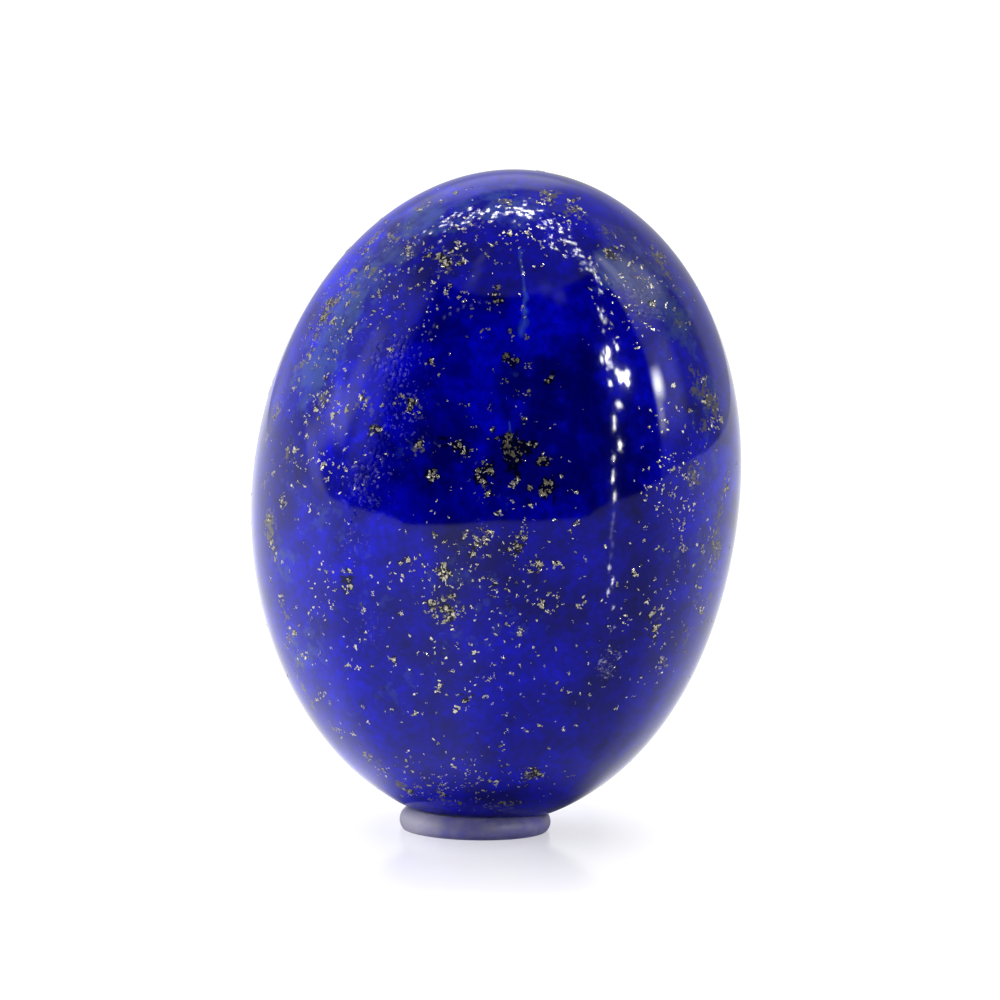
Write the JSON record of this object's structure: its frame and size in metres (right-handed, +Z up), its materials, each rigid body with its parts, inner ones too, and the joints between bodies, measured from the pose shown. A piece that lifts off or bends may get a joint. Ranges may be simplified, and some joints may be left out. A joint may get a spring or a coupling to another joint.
{
  "type": "polished lapis lazuli oval on a soft ring",
  "caption": "Hand-polished, high-domed oval of deep blue lapis lazuli with pyrite flecks, standing on end in a small soft ring that holds it up for display.",
  "frame": {"origin": "on the surface that the ring rests on, under the middle of the whole object's box", "axes": "+Z up, along the stone's long way; the stone's broad face looks towards -Y, and its top leans 4.8 degrees towards +X"},
  "size_m": [0.0196, 0.0164, 0.0265],
  "materials": {
    "polished_lapis_lazuli": "polished",
    "moulded_clear_silicone": "satin"
  },
  "bodies": {
    "root": {"lapis_oval": "polished_lapis_lazuli", "silicone_ring": "moulded_clear_silicone"}
  },
  "joints": []
}
